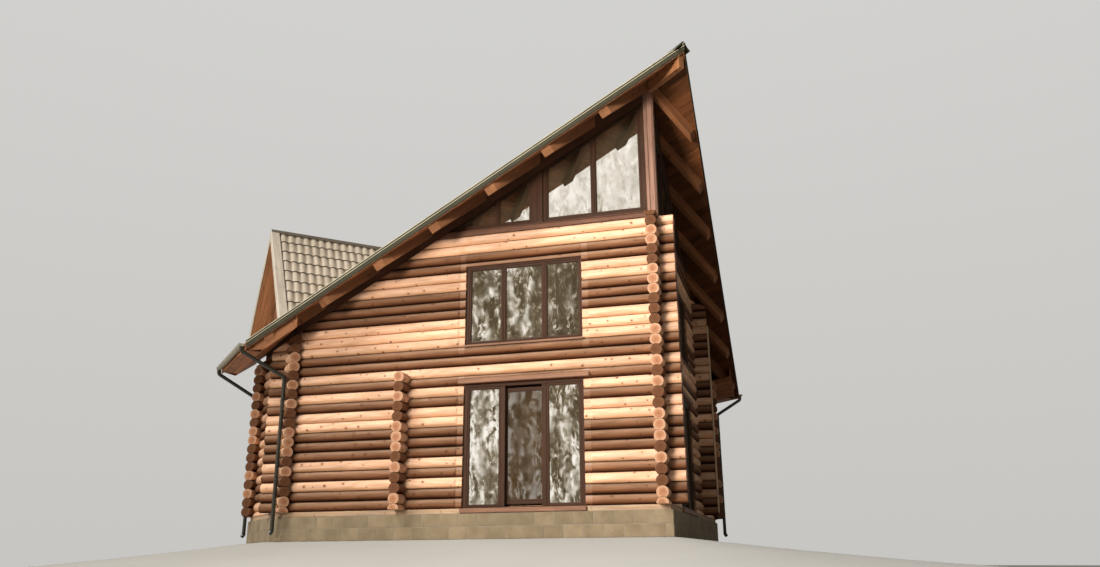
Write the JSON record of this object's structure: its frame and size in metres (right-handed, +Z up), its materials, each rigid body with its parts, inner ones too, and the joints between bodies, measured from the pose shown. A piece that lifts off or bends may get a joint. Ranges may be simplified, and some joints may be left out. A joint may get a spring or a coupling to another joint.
{
  "type": "log cabin",
  "caption": "Two-storey log cabin with a pointed glazed prow at each end, a steep overhanging tiled roof, small side cross gables and a sliding terrace door.",
  "frame": {"origin": "middle of the plan at ground level, on the underside of the plinth", "axes": "+Z up; +Y along the ridge, from the front prow at -Y to the rear prow; +X to the right as seen from the front prow"},
  "size_m": [14.324, 17.071, 9.96],
  "materials": {
    "blockwork": "bare concrete blockwork with mortar joints",
    "base_timber": "weathered flat base timber",
    "floor_boards": "plain floor boards",
    "logs": "turned logs, some honey coloured and some stained dark, with knots and cracks",
    "cover_board": "light planed board",
    "stained_timber": "dark red-brown stained planed timber",
    "window_frame": "dark brown stained timber frames",
    "glass": "sealed panes that mirror the trees and sky",
    "opening_board": "dark stained boards",
    "soffit_boards": "red-brown stained boards",
    "tile_sheet": "beige-grey pressed metal tiles",
    "rafter_timber": "red-brown stained rafters",
    "head_beam": "dark stained timber",
    "roof_flashing": "olive-grey painted metal",
    "rainwater_metal": "dark green-black painted metal",
    "gable_boards": "dark stained boards",
    "verge_trim": "beige painted metal",
    "ridge_cap_dark": "dark painted metal"
  },
  "bodies": {
    "house": {"plinth": "blockwork", "base_timber": "base_timber", "ground_floor": "floor_boards", "upper_floor": "floor_boards", "front_left_wall_prow_side": "logs", "front_left_wall_eave_side": "logs", "front_left_wall_over_door": "logs", "front_right_wall": "logs", "rear_left_wall": "logs", "rear_right_wall": "logs", "left_chamfer_wall": "logs", "right_chamfer_wall": "logs", "inner_wall_log_ends": "logs", "log_end_cover_board": "cover_board", "prow_posts": "stained_timber", "front_left_gable_frame": "window_frame", "front_left_upper_window_frame": "window_frame", "terrace_door_frame": "window_frame", "front_left_glass": "glass", "front_right_window_frames": "window_frame", "front_right_glass": "glass", "rear_window_frames": "window_frame", "rear_glass": "glass", "gable_sills": "stained_timber", "opening_boards": "opening_board", "roof_deck_left": "soffit_boards", "roof_deck_right": "soffit_boards", "roof_covering_left": "tile_sheet", "roof_covering_right": "tile_sheet", "ridge_beam": "rafter_timber", "rafters": "rafter_timber", "head_beams": "head_beam", "ridge_cap": "roof_flashing", "verge_flashing_left": "roof_flashing", "verge_flashing_right": "roof_flashing", "eave_fascias": "rafter_timber", "gutters": "rainwater_metal", "downpipes": "rainwater_metal", "cross_gable_decks": "soffit_boards", "cross_gable_coverings": "tile_sheet", "cross_gable_walls": "gable_boards", "cross_gable_verges": "verge_trim", "cross_gable_caps": "ridge_cap_dark"},
    "door_leaf": {"terrace_door_leaf": "window_frame", "terrace_door_leaf_glass": "glass"}
  },
  "joints": [
    {"name": "terrace_door_slide", "type": "slide", "parent": "house", "child": "door_leaf", "axis": [-0.7071, 0.7071, 0], "range_m": [0, 0.7]}
  ]
}
